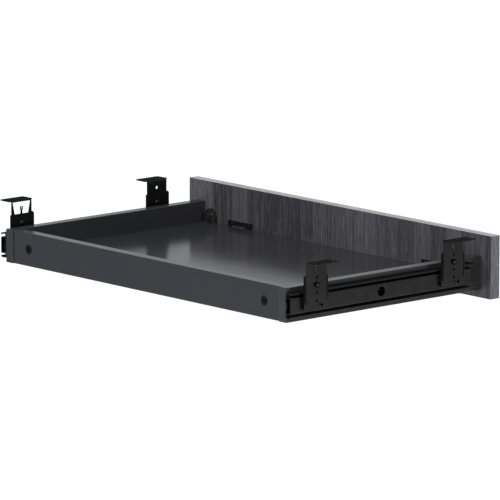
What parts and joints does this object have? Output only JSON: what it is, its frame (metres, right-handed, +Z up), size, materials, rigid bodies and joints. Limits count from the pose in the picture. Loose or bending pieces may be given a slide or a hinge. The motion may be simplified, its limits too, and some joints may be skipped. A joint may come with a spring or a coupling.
{
  "type": "keyboard tray",
  "caption": "Shallow under-desk keyboard drawer with a taller front, on two ball-bearing slides hung from the desk by height-adjustable angle hangers.",
  "frame": {"origin": "in the plane of the desk's underside, where the four hanger pads meet it, midway between them", "axes": "+X to the user's right, -Y towards the user, +Z up into the desk top"},
  "size_m": [0.7082, 0.3995, 0.0991],
  "materials": {
    "black_laminate": "satin black melamine laminate on particle board",
    "woodgrain_laminate": "charcoal woodgrain laminate, vertical grain, matt",
    "black_steel": "satin black electrophoretic paint on pressed steel",
    "zinc_steel": "bright zinc plate",
    "ball_retainer": "blackened steel strip with steel balls dulled by grease",
    "blackened_zinc": "black passivated zinc, cast in the cams and plated on bolts, nuts and corner screws",
    "black_plastic": "black moulded plastic",
    "beech": "fluted beech dowel"
  },
  "bodies": {
    "hangers": {"desk_member_left": "black_steel", "desk_member_right": "black_steel", "foot_rivet_left_front_1": "black_steel", "foot_rivet_left_front_2": "black_steel", "foot_rivet_left_rear_1": "black_steel", "foot_rivet_left_rear_2": "black_steel", "foot_rivet_right_front_1": "black_steel", "foot_rivet_right_front_2": "black_steel", "foot_rivet_right_rear_1": "black_steel", "foot_rivet_right_rear_2": "black_steel", "hanger_bracket_left_front": "black_steel", "hanger_bracket_left_rear": "black_steel", "hanger_bracket_right_front": "black_steel", "hanger_bracket_right_rear": "black_steel", "hanger_plate_left_front": "black_steel", "hanger_plate_left_rear": "black_steel", "hanger_plate_right_front": "black_steel", "hanger_plate_right_rear": "black_steel", "height_bolt_left_front": "blackened_zinc", "height_bolt_left_rear": "blackened_zinc", "height_bolt_right_front": "blackened_zinc", "height_bolt_right_rear": "blackened_zinc", "height_nut_left_front": "blackened_zinc", "height_nut_left_rear": "blackened_zinc", "height_nut_right_front": "blackened_zinc", "height_nut_right_rear": "blackened_zinc"},
    "tray": {"angle_bracket_left": "black_steel", "angle_bracket_right": "black_steel", "angle_screw_left_1": "black_steel", "angle_screw_left_2": "black_steel", "angle_screw_right_1": "black_steel", "angle_screw_right_2": "black_steel", "back_panel": "black_laminate", "bottom_panel": "black_laminate", "cam_bolt_left": "zinc_steel", "cam_bolt_right": "zinc_steel", "cam_lock_left": "blackened_zinc", "cam_lock_right": "blackened_zinc", "channel_screw_left_1": "zinc_steel", "channel_screw_left_2": "zinc_steel", "channel_screw_left_3": "zinc_steel", "channel_screw_right_1": "zinc_steel", "channel_screw_right_2": "zinc_steel", "channel_screw_right_3": "zinc_steel", "connector_screw_left": "blackened_zinc", "connector_screw_right": "blackened_zinc", "corner_connector_left": "black_plastic", "corner_connector_right": "black_plastic", "dowel_left_front": "beech", "dowel_left_rear": "beech", "dowel_right_front": "beech", "dowel_right_rear": "beech", "front_panel": "woodgrain_laminate", "side_panel_left": "black_laminate", "side_panel_right": "black_laminate", "tray_channel_left": "black_steel", "tray_channel_right": "black_steel"},
    "cage_left": {"ball_cage_left": "ball_retainer"},
    "cage_right": {"ball_cage_right": "ball_retainer"}
  },
  "joints": [
    {"name": "tray_slide", "type": "slide", "parent": "hangers", "child": "tray", "axis": [0, -1, 0], "range_m": [0, 0.25]},
    {"name": "cage_left_slide", "type": "slide", "parent": "hangers", "child": "cage_left", "axis": [0, -1, 0], "range_m": [0, 0.125]},
    {"name": "cage_right_slide", "type": "slide", "parent": "hangers", "child": "cage_right", "axis": [0, -1, 0], "range_m": [0, 0.125]}
  ],
  "couplings": [
    {"joint": "cage_left_slide", "follows": "tray_slide", "ratio": 0.5},
    {"joint": "cage_right_slide", "follows": "tray_slide", "ratio": 0.5}
  ]
}
